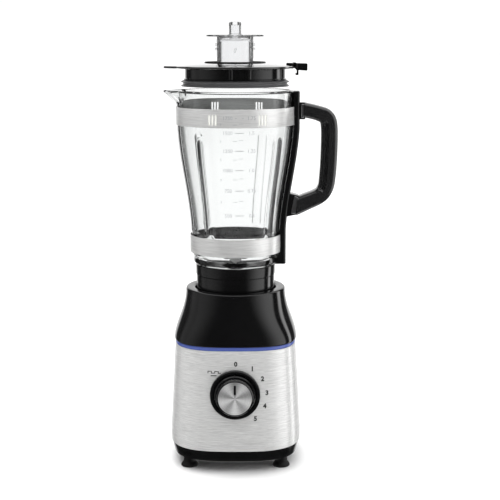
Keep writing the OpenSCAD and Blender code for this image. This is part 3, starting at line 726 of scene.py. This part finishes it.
def make_feet():
    pad = rounded([(0, 0), (9.6, 0), (10.5, 1.0), (10.1, 2.8), (7.4, 6.2), (7, 14), (0, 14)],
                  [0, 0.8, 0.7, 1.2, 2, 0.2, 0], closed=False)
    lathe = [(0.001, 0.9), (4.8, 0.9), (5.4, 0)] + pad[1:-1] + [(0.001, 14)]
    points, faces = revolve(lathe, 64, open_ended=True)
    for name, x, y in (("front_left", -55, -46), ("front_right", 55, -46), ("rear_left", -55, 46),
                       ("rear_right", 55, 46)):
        moved = [(px + x, py + y, pz) for px, py, pz in points]
        add_piece("foot_pad_" + name, (moved, faces), "base", "black_rubber", ["foot_" + name])


def turned_front(profile):
    """A lathe shape about the dial's axis: profile is (r, distance in front of the drive axis)."""
    points, faces = revolve(profile)
    return [(x, -z, DIAL_Z + y) for x, y, z in points], faces


def on_dial(r, turn):
    """A place on the panel, turn degrees clockwise from the top."""
    a = math.radians(turn)
    return r * math.sin(a), DIAL_Z + r * math.cos(a)


def make_dial():
    knob_r = 24.0
    front = KNOB_FRONT
    bezel = rounded([(13, 72.9), (29.5, 72.9), (29.5, 77.8), (28.6, 78.9), (25.9, 78.9), (24.9, 78.1),
                     (24.6, 77.9), (13, 77.9)], [0, 0, 0.6, 0.8, 0.6, 0.3, 0, 0])
    add_piece("bezel_ring", turned_front(bezel), "base", "black_gloss", ["knob_bezel"], 40)
    back = front - 13.7
    body = rounded([(3.2, back), (knob_r - 0.6, back), (knob_r, back + 0.6), (knob_r, back + 2.6),
                    (knob_r - 1.1, back + 4), (knob_r - 2.4, front - 1.3), (knob_r - 3.7, front),
                    (knob_r - 4.25, front), (knob_r - 4.4, front - 0.8), (3.2, front - 0.8)],
                   [0, 0.3, 0.3, 0.5, 0.8, 1.1, 0.25, 0.1, 0, 0])
    add_piece("knob_moulding", turned_front(body), "dial", "black_gloss", ["knob_body"])
    face_r = knob_r - 4.4
    face = rounded([(0.01, front - 0.8), (face_r, front - 0.8), (face_r, front - 0.05), (face_r - 0.5, front + 0.1),
                    (0.01, front + 0.02)], [0, 0, 0.15, 0.1, 0])
    add_piece("knob_disc", turned_front(face), "dial", "brushed_steel", ["knob_face"],
              material=spun_disc_painted_highlights("spun_disc_painted_highlights"))
    line = rounded([(-1.2, 5.4), (0, 4.2), (1.2, 5.4), (1.2, 16), (-1.2, 16)], [0.4, 0.2, 0.4, 0.7, 0.7])
    add_piece("pointer_line", soft_prism(line, on_panel, front - 0.1, front + 0.3, 0.12), "dial", "black_gloss",
              ["knob_pointer"], 40)


def spun_disc_painted_highlights(name):
    """A disc turned on a lathe with fine circles about the dial's axis; its colour carries painted highlights, lighter
    in five fan-shaped sectors and towards the bottom, by angle about that axis.
    """
    mat, tree, bsdf = new_material(name)
    centre = AXIS + Vector((0, 0, DIAL_Z)) * MM
    place = add_node(tree, "Mapping", {0: add_node(tree, "TexCoord").outputs["Object"], "Scale": (1, 0, 1),
                                       "Location": (-centre.x, 0, -centre.z)}).outputs[0]
    away = add_node(tree, "VectorMath", {0: place}, operation="LENGTH").outputs["Value"]
    rings = add_node(tree, "TexNoise", {"Scale": 2600, "Detail": 3, "W": away}, noise_dimensions="1D").outputs["Fac"]
    parts = add_node(tree, "SeparateXYZ", {0: place}).outputs
    around = maths(tree, "ARCTAN2", parts["X"], parts["Z"])
    # painted highlights: the colour is lighter in five fan-shaped sectors and towards the disc's bottom, darker
    # towards its top
    painted_fan_light = maths(tree, "COSINE", maths(tree, "MULTIPLY", around, 5))
    painted_fan_light = maths(tree, "ADD", maths(tree, "MULTIPLY", painted_fan_light, -0.16),
                 maths(tree, "MULTIPLY", maths(tree, "COSINE", around), -0.07))
    # the turned rings' own grain plus the painted highlights
    rings_and_painted_light = maths(tree, "ADD", painted_fan_light, remap(tree, rings, 0.25, 0.42))
    feed(tree, bsdf, {"Base Color": two_tone(tree, rings_and_painted_light, (0.1, 0.1, 0.1), (0.98, 0.98, 0.98)),
                      "Roughness": remap(tree, rings, 0.2, 0.3), "Metallic": 0.25, "Anisotropic": 0.85,
                      "Tangent": radial_tangent(tree, "Y"), "Normal": bump(tree, rings, 0.3, 0.00003)})
    return mat


# ---- print on surfaces


def text_shape(text, height, bold=0.03):
    """The flat outline of a word as (points, faces), height millimetres tall and centred."""
    curve = bpy.data.curves.new("word", "FONT")
    curve.body = text
    curve.align_x = "CENTER"
    curve.resolution_u = 4
    curve.size = 1.0
    curve.offset = bold
    word = new_object("word", curve)
    mesh = evaluated(word)
    xs = [v.co.x for v in mesh.vertices]
    ys = [v.co.y for v in mesh.vertices]
    mid_x, mid_y = (max(xs) + min(xs)) / 2, (max(ys) + min(ys)) / 2
    scale = height / (max(ys) - min(ys))
    points = [((x - mid_x) * scale, (y - mid_y) * scale) for x, y in zip(xs, ys)]
    faces = [tuple(f.vertices) for f in mesh.polygons]
    bpy.data.objects.remove(word)
    bpy.data.meshes.remove(mesh)
    bpy.data.curves.remove(curve)
    return points, faces


def printed(name, shapes, place, body, material):
    """Thin ink: each shape (points, faces, a, b) is laid on a surface by place(a, b, proud)."""
    obj = mesh_object(name, gathered(([place(x + a, y + b, INK) for x, y in points], faces)
                                     for points, faces, a, b in shapes))
    obj.data.materials.append(material)
    solid = obj.modifiers.new("ink", "SOLIDIFY")
    solid.thickness = INK * MM * 0.9
    solid.offset = 0
    mesh = evaluated(obj)
    obj.modifiers.clear()
    obj.data = mesh
    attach(obj, body)


def rectangle(width, height):
    w, h = width / 2, height / 2
    return oblong(-w, w, -h, h), [(0, 1, 2, 3)]


def make_dial_print():
    shapes = []
    for digit, turn in (("0", 0), ("1", 32), ("2", 59), ("3", 87), ("4", 112), ("5", 141)):
        x, z = on_dial(36.6, turn)
        shapes.append((*text_shape(digit, 5.9, 0.045), x + 0.8, z))
    # the pulse mark: a run of square beats over a short bar
    x, z = on_dial(35.4, -45)
    for k in range(4):
        shapes.append((*rectangle(0.9, 3.0), x - 6.6 + 4 * k, z + 1.8))
        shapes.append((*rectangle(2.9, 0.9), x - 4.6 + 4 * k - 0.2, z + (2.85 if k % 2 == 0 else 0.75)))
    shapes.append((*rectangle(7.0, 1.1), x, z - 2.4))
    printed("dial_print", shapes, shell_front, "base", PRINT_BLACK)


# ---- jug


def jug_r(z):
    t = min(1, max(0, (z - WAIST_Z) / (SHOULDER_Z - WAIST_Z)))
    return mix(JUG_LOW_R, JUG_HIGH_R, (t + ease(t)) / 2)


def outer_r(z):
    """The plain outside of the glass, without its flutes and spout."""
    foot = [(JUG_FOOT, 47.8), (243.3, 50.2), (250, 50.2), (256, 53.7), (272, 53.7), (276, 52.7), (278, 52.7),
            (WAIST_Z, 53.7)]
    if z >= WAIST_Z:
        return jug_r(z)
    for (z0, r0), (z1, r1) in zip(foot, foot[1:]):
        if z <= z1:
            return mix(r0, r1, max(0, (z - z0) / (z1 - z0)))
    return JUG_LOW_R


def step(value, low, high):
    t = min(1, max(0, (value - low) / (high - low)))
    return t * t * (3 - 2 * t)


FLUTES = (59, 136, 237, 316)  # where the pressed flutes lie, in degrees about the jug


def flute_depth(turn, z, r):
    """How deep the pressed flutes go at a turn (degrees), height and radius."""
    low, high, width = 284.0, 388.0, 7.6
    nearest = min(FLUTES, key=lambda flute: abs((turn - flute + 180) % 360 - 180))
    side = math.radians((turn - nearest + 180) % 360 - 180) * r
    gap = math.hypot(side, max(0, z - high, low - z))
    if gap > width:
        return 0.0
    return 1.8 * (1 - (gap / width) ** 2)


def spout_reach(turn, z, r):
    """How far the rim is drawn out into the pouring lip."""
    side = abs(math.radians(turn % 360 - 180)) * r
    lift = min(1, max(0, (z - 429.5) / (JUG_RIM - 1.5 - 429.5)))
    plan = max(0, 1 - side / 25)
    blunt = plan if plan < 0.8 else 0.8 + 0.2 * math.sin((plan - 0.8) / 0.2 * math.pi / 2) * 0.8
    return 16.6 * blunt * (lift ** 1.15) * step(lift, 0, 0.35)


def make_glass():
    # each point: height, radius, and 0 for a plain surface, 1 for the fluted outside or 2 for the inside
    foot = [(JUG_FOOT, 42.4), (JUG_FOOT, 47.2), (JUG_FOOT + 0.5, 48.2), (243.3, 50.2), (245, 50.3), (249.5, 50.3),
            (251, 50.7), (254.6, 53), (256.4, 53.7), (264, 53.7), (271.6, 53.7), (272.8, 53.4), (275.4, 52.8),
            (277.8, 52.7)]
    profile = [(z, r, 0) for z, r in foot] + [(280, 53.1, 1), (281.5, 53.5, 1)]
    body = [mix(WAIST_Z, SHOULDER_Z, i / 64) for i in range(65)]
    profile += [(z, jug_r(z), 1) for z in body]
    profile += [(z, JUG_HIGH_R, 1) for z in (406, 412, 420, 428, 430, 431.5, 433, 435, 437, 439, 441, 443, 444.6)]
    rim_r = 2.5
    for k in range(9):
        a = math.pi * k / 8
        profile.append((JUG_RIM - rim_r + rim_r * math.sin(a), JUG_HIGH_R - rim_r + rim_r * math.cos(a), 1))
    # the wall thins toward the rim
    profile += [(z, JUG_HIGH_R - mix(3.2, GLASS_T, step(444.6 - z, -2, 18.6)), 2)
                for z in (444.6, 442, 439, 436, 433, 430, 427, 424, 418, SHOULDER_Z + 2)]
    profile += [(z, jug_r(z) - GLASS_T, 2) for z in body[::-2]]
    bowl = [(276, 47.9), (268, 46.8), (262, 45.2), (256, 43.4), (250, 41.3), (245, 39.4), (242.4, 38.4),
            (240.8, 38), (235.4, 38), (235, 38.4), (235, 42), (235.4, 42.4)]
    profile += [(z, r, 2) for z, r in bowl]

    def pressed(turn, r, z, kind):
        if kind == 1:
            r, reach = r - flute_depth(turn, z, r), spout_reach(turn, z, r)
        else:
            reach = spout_reach(turn, z, r) * 0.99
        return r + reach if kind and z > 429.5 else r
    shape = revolve([(r, z, kind) for z, r, kind in profile], 480, wobble=pressed)
    add_piece("jug_glass", shape, "jug", "clear_glass", ["glass_jar"], 60)


def wrapped(r_at):
    """Lays (sideways, height) on the front of a turned surface."""
    def place(a, b, proud):
        r = r_at(b) + proud
        turn = math.radians(FRONT) + a / r
        return (r * math.cos(turn), r * math.sin(turn), b)
    return place


def make_graduations():
    shapes = []
    marks = (("1750", "1.75", 418.5), ("1500", "1.5", 401.5), ("1250", "1.25", 381), ("1000", "1.0", 358.5),
             ("750", "0.75", 334.5), ("500", "0.5", 305))
    for left, right, z in marks:
        shapes.append((*text_shape(left, 4.1, 0), -7.5, z))
        shapes.append((*text_shape(right, 4.1, 0), 20, z))
        shapes.append((*rectangle(10.5, 0.55), 5.5, z))
    heights = [z for _, _, z in reversed(marks)]
    for cups, low, high in zip("34567", heights, heights[1:]):
        middle = mix(low, high, 0.55)
        shapes.append((*text_shape(cups, 2.8, 0), -16, middle))
        shapes.append((*rectangle(5, 0.45), 0.5, middle))
        shapes.append((*rectangle(5, 0.45), 7.5, middle + 1.2))
    on_band = [shape for shape in shapes if shape[3] >= 404]
    on_glass = [shape for shape in shapes if shape[3] < 404]
    printed("volume_marks", on_glass, wrapped(outer_r), "jug", PRINT_GREY)
    printed("volume_marks_band", on_band, wrapped(lambda z: 70.42), "jug", PRINT_GREY)


def make_bands():
    for node, z, height, r in BANDS:
        shape = rounded(oblong(r, r + BAND_T, z, z + height), [0.1, 0.35, 0.35, 0.1], steps=3)
        band = add_piece(node + "_steel", revolve(shape, 256), "jug", "brushed_steel", [node], 50,
                         material=BAND_STEEL)
        if node == "upper_band":
            slot_shape = rounded(oblong(-1.2, 1.2, 409.7, 421.7), 0.6)
            cut(band, *[tool(prism(slot_shape, facing(middle + 3.2 * k), 64, 76))
                        for middle in (-111, -63, 64, 113) for k in (-1, 0, 1)])
            smooth(band.data, 50)


def make_slot_pads():
    """White pads behind the upper band's front slots."""
    pad = rounded(oblong(-1.35, 1.35, 409.5, 421.9), 0.6)
    for n, middle in enumerate((-111, -63)):
        pads = gathered(soft_prism(pad, facing(middle + 3.2 * k), 69.42, 69.9, 0.1) for k in (-1, 0, 1))
        add_piece("slot_pads_%d" % n, pads, "jug", "white_plastic", angle=30)


def make_liner():
    """The black tape behind the lower band, seen from inside through the glass."""
    add_piece("band_tape", revolve(oblong(53.72, 53.88, 256, 275.6), 192), "jug", "black_matte")


def make_collar():
    profile = rounded([(43, 188.5), (46, 188.5), (47, 189.5), (47, 226.9), (46.4, 227.2), (46.4, 227.7),
                       (47.8, 227.7), (47.8, 240), (42.8, 240), (42.8, 233), (14, 233), (10, 240), (9, 246),
                       (6.1, 246), (6.1, 209), (10, 209), (12, 228), (43, 228)],
                      [0.4, 0.6, 0.6, 0.2, 0.1, 0.1, 0.5, 0.9, 0.4, 0.5, 1.5, 2, 0.6, 0, 0, 0.5, 1, 0.5])
    add_piece("collar_moulding", revolve(profile, 192), "blade_unit", "black_gloss", ["blade_collar"], 40)


# ---- handle


def spine_outer(z):
    """The glass's outline and its bands, as the spine's inner face follows it."""
    r = outer_r(z) + 0.35
    for _, low, height, band in BANDS:
        if low - 0.4 <= z <= low + height + 0.4:
            r = max(r, band + BAND_T + 0.35)
    return r


def make_spine():
    thick = 6.8
    half = 11.5
    heights = [JUG_FOOT, JUG_FOOT + 0.6, 244, 248, 251, 254.4, 254.85, 260, 268, 276.6, 276.75, 280]
    heights += [mix(WAIST_Z, SHOULDER_Z, i / 24) for i in range(25)]
    heights += [406.5, 406.7, 415, 428.6, 428.8, 436, 441, 445.6, 446.2]
    rings = []
    for n, z in enumerate(heights):
        inner = spine_outer(z)
        edge = 0.6 if n in (0, len(heights) - 1) else 0.0
        outer = max(outer_r(z), JUG_LOW_R) + thick - edge
        corner = 3.2
        bend = [(outer - corner + corner * c, half - edge - corner + corner * s) for c, s in quarter(6)]
        across = bend + [(math.sqrt(inner * inner - y * y), y)
                         for y in ((half - edge) * (1 - 2 * k / 4) for k in range(5))]
        across += [(x, -y) for x, y in reversed(bend)]
        rings.append([(x, y, z) for x, y in across])
    spine = add_piece("spine_moulding", skin(rings, True), "jug", "black_gloss", ["handle_spine"], 40)
    cut(spine, *[tool(prism(oblong(60, 92, low, 460), side_on, -across, across))
                 for low, across in ((444.6, 7.3), (437, 5))])
    for arm in (oblong(70.8, 82.6, 413.4, 433.2), [(56, 296.4), (76, 300.6), (76, 322.6), (61, 326.4)]):
        join_into(spine, tool(soft_prism(rounded(arm, [0, 1, 1, 0]), side_on, -10.6, 10.6, 0.8)))


HANDLE = [(79, 424.7, 8.8), (97, 420.6, 8.7), (107.5, 415.5, 9.6), (111.4, 404, 9.8), (111.4, 372, 9.8),
          (109.8, 345, 9.7), (107.4, 331.5, 9.3), (100.4, 322.2, 9.2), (84, 314.6, 9.8), (66, 306.9, 10.4)]


def handle_at(t):
    last = len(HANDLE) - 1
    i = max(0, min(int(math.floor(t)), last - 1))
    u = t - i
    a, b, c, d = (Vector(HANDLE[max(0, min(last, i + k))]) for k in (-1, 0, 1, 2))
    return 0.5 * (2 * b + (c - a) * u + (2 * a - 5 * b + 4 * c - d) * u * u + (3 * b - a - 3 * c + d) * u ** 3)


def handle_ring(t, across):
    """The handle's cross-section at t of its path: across is (out, sideways), out in parts of the radius."""
    here = handle_at(t)
    ahead = handle_at(t + 0.02) - handle_at(t - 0.02)
    n = Vector((-ahead.y, ahead.x)).normalized()
    return [(here.x + n.x * out * here.z, y, here.y + n.y * out * here.z) for out, y in across]


RIBS = [(-1, 6.5), (-0.93, 8.0), (-0.84, 8.9), (-0.78, 9.1), (-0.71, 8.6), (-0.62, 8.2), (-0.55, 8.6),
        (-0.5, 10.2), (-0.44, 10.6), (-0.38, 10.2), (-0.3, 9.4), (-0.2, 9.3), (-0.16, 9.8), (-0.13, 12.0),
        (-0.08, 12.5), (0.1, 12.5), (0.3, 12.5), (0.5, 12.45), (0.66, 12.1), (0.8, 11.4), (0.91, 10.2),
        (0.975, 8.6), (1, 6.5)]


def handle_section(share, side):
    """Half of the handle's outline across its path: plain on the arms, ribbed for the fingers on the grip."""
    out = [(-1, 0.06 * side)]
    for across, ribbed_y in RIBS:
        far = max(0, abs(across) - 0.55) / 0.45
        plain_y = 6.5 + 6.0 * math.sqrt(max(0, 1 - far * far))
        out.append((across, side * mix(plain_y, ribbed_y, share)))
    out += [(1, 0.06 * side), (0.74, 0.06 * side), (0.6, side * 7.0), (-0.6, side * 5.6), (-0.74, 0.06 * side)]
    return out


def make_handle():
    last = len(HANDLE) - 1
    steps = 12 * last
    for side, name in ((-1, "front"), (1, "rear")):
        rings = []
        for i in range(steps + 1):
            t = last * i / steps
            share = step(t, 2.35, 2.75) * (1 - step(t, 6.15, 6.6))
            rings.append(handle_ring(t, handle_section(share, side)))
        shell = add_piece("handle_half_" + name, skin(rings, True), "jug", "black_matte", ["handle_shell_" + name], 40,
                          material=HANDLE_BLACK)
        window = rounded(oblong(338, 408, 0, 6.2), [0, 0, 2, 2])
        cut(shell, tool(prism([(a, b * side) for a, b in window], lambda a, b, d: (d, b, a), GRIP_REACH - 2.0, 124)),
            *[tool(prism(oblong(*arm), side_on, -20, 20)) for arm in ((50, 81.3, 405, 440), (50, 73.1, 288, 335))])
        smooth(shell.data, 40)
    rows = []
    count = 40
    for i in range(count + 1):
        z = mix(338.6, 407.4, i / count)
        inset = 0.8 if i in (0, count) else 0.3 if i in (1, count - 1) else 0
        outline = rounded(oblong(-5.9 + inset, 5.9 - inset, -1.7, -0.4), [0, 0, 0.5, 0.5], steps=4)
        here = handle_at(path_t(z))
        rows.append([(here.x + here.z + out + 0.35, y, z) for y, out in outline])
    add_piece("grip_strip", skin(rows, True), "jug", "black_rubber", ["grip_insert"], 40)
    for name, shape in (("upper", [(77.6, 415.2), (81.2, 414.6), (81.2, 431.8), (77.6, 431.2)]),
                        ("lower", [(66, 300.5), (72.4, 301.4), (75.4, 320.6), (70.2, 323.0)])):
        add_piece("arm_collar_" + name, soft_prism(rounded(shape, 1.2), side_on, -11.3, 11.3, 1.0), "jug",
                  "cast_zinc", angle=40, material=TRIM)


def path_t(z):
    """Where along the handle's path the height z lies, on its grip."""
    low, high = 2.0, 7.0
    for _ in range(30):
        mid = (low + high) / 2
        if handle_at(mid).y > z:
            low = mid
        else:
            high = mid
    return (low + high) / 2


# ---- lid and cap


def make_lid():
    z = LID_Z
    hole, recess = 24.0, 35.0
    profile = rounded([(hole, z - 0.3), (LID_R - 1, z - 0.3), (LID_R, z + 0.5), (LID_R, z + 1.8),
                       (LID_R - 1, z + 2.6), (56, z + 4.8), (40, z + 6.1), (recess + 0.4, z + 6.4),
                       (recess, z + 5.8), (recess - 0.1, z + 4), (hole, z + 4)],
                      [0.4, 0.6, 0.5, 0.5, 0.6, 20, 6, 0.5, 0.3, 0.8, 0.8])
    lid = add_piece("lid_moulding", revolve(profile, 192), "lid", "black_gloss", ["lid_body"], material=LID_BLACK)
    cut(lid, tool(prism(oblong(59.6, 80, -7, 7), flat, z - 2, z + 18)))
    tongue = rounded([(-60, 24), (-78, 14), (-84, 6), (-84, -6), (-78, -14), (-60, -24)], [0, 6, 4, 4, 6, 0])
    join_into(lid, tool(soft_prism(tongue, flat, z - 0.2, z + 2.5, 0.8)))
    for j in (-1, 1):
        y = 8.5 * j
        ear = rounded([(64.5, z + 0.4), (72.9, z + 0.4), (72.9, z + 4.6), (71.6, z + 6.6), (68.4, z + 6.6),
                       (66.0, z + 4.6)], [0.2, 0.6, 2, 1.6, 1.6, 1])
        join_into(lid, tool(soft_prism(ear, side_on, y - 1.5, y + 1.5, 0.4)))
    smooth(lid.data, 35)
    ring = rounded(oblong(recess + 0.1, recess + 1.2, z + 5.6, z + 7.6), [0, 0, 0.4, 0.4])
    add_piece("recess_ring", revolve(ring, 160), "lid", "black_matte", angle=40)
    plug = rounded([(55.5, z - 21), (58.4, z - 21), (59.2, z - 20.2), (59.2, z - 13.6), (60.6, z - 13.2),
                    (60.6, z - 12.2), (59.2, z - 11.8), (59.2, z - 0.4), (24.5, z - 0.4), (24.5, z - 13.6),
                    (25.2, z - 14), (26.8, z - 14), (27.4, z - 13.4), (27.4, z - 2.4), (55.5, z - 2.4)],
                   [0.4, 0.6, 0.4, 0.1, 0.4, 0.4, 0.1, 0.2, 0.2, 0.4, 0.3, 0.4, 0.4, 1, 1])

    def ribbed(turn, r, h):
        on_wall = 59 < r < 60 and z - 12 < h < z - 0.2
        on_rib = any(abs((turn - rib + 180) % 360 - 180) < 1.2 for rib in (-94, -74, -24, 30, 70, 110, 150))
        return r + 0.9 if on_wall and on_rib else r
    add_piece("plug_moulding", revolve(plug, 360, wobble=ribbed), "lid", "black_gloss", ["lid_plug"], 40)
    gasket = rounded([(59.25, z - 21.3), (63.6, z - 21), (63.9, z - 20.2), (61.4, z - 18.6), (61.4, z - 16.8),
                      (63.6, z - 16), (63.9, z - 15.2), (61, z - 13.8), (59.25, z - 13.8)],
                     [0.2, 0.4, 0.5, 0.6, 0.6, 0.4, 0.5, 0.5, 0.2])
    add_piece("gasket_moulding", revolve(gasket, 160), "lid", "grey_silicone", ["lid_gasket"], 40)


def make_latch():
    z = LID_Z
    lever = rounded([(60.2, z + 2.6), (67.5, z + 2.2), (72, z - 2.2), (84, z - 3), (85, z - 2), (85, z + 4.6),
                     (84, z + 5.6), (60.8, z + 6.2), (60.2, z + 5.6)], [0.3, 1.5, 1.5, 0.6, 0.5, 0.8, 0.5, 0.4, 0.2])
    latch = add_piece("latch_moulding", soft_prism(lever, side_on, -6.5, 6.5, 0.7), "latch", "black_gloss",
                      ["latch_lever"], 40)
    hook = rounded([(74.6, z - 2.4), (74.6, z - 8.2), (71.6, z - 8.2), (70.4, z - 6.6), (72.4, z - 5.6),
                    (72.4, z - 1.8)][::-1], [0, 0.6, 0.5, 0.8, 0.8, 0])
    join_into(latch, tool(soft_prism(hook, side_on, -4, 4, 0.4)))


def make_cap():
    z = CAP_Z
    cup, t = 21.5, 3.2
    flange = 34.0
    profile = [(cup - t, z - 30), (cup, z - 30), (cup, z - 0.2), (flange - 0.5, z), (flange, z + 0.6),
               (flange - 0.5, z + 1.8), (8.4, z + 1.8), (7.2, z + 3.2), (7.2, z + 14.6), (6.6, z + 16.8),
               (0.01, z + 17.2), (0.01, z + 13.4), (5.7, z + 13.4), (5.7, z + 3), (6.4, z - 0.8),
               (cup - t, z - 1)]
    radii = [0.8, 0.8, 1, 0.4, 0.5, 0.5, 1.2, 1, 0.9, 0.9, 0, 0, 0.8, 2, 1.5, 2]
    cap = add_piece("cap_moulding", revolve(rounded(profile, radii), 160), "cap", "clear_plastic",
                    ["measuring_cap"], 40)
    for turn, heights in ((0, (9.5, 14.5)), (180, (9.5, 14.5)), (-88, (14.5,)), (92, (14.5,))):
        for drop in heights:
            join_into(cap, tool(soft_prism(circle(1.3, 16), facing(turn, z - drop), cup - 0.6, cup + 2.0, 0.4)))


# ---- build

make_camera()
make_studio()
make_floor()
area_light("key", (-300, 300, 1900), (1.6, 1.6), 34, (0, 0, 100))
area_light("fill", (200, -1500, 1300), (1.2, 1.2), 9, (0, 0, 200))
scene = bpy.context.scene
scene.view_settings.view_transform = "Standard"
scene.view_settings.look = "None"

dress_frame()
for make in (make_upper_housing, make_steel_shell, make_light_ring, make_lower_housing, make_feet, make_dial,
             make_dial_print, make_glass, make_bands, make_slot_pads, make_liner, make_graduations, make_collar,
             make_spine, make_handle, make_lid, make_latch, make_cap):
    make()
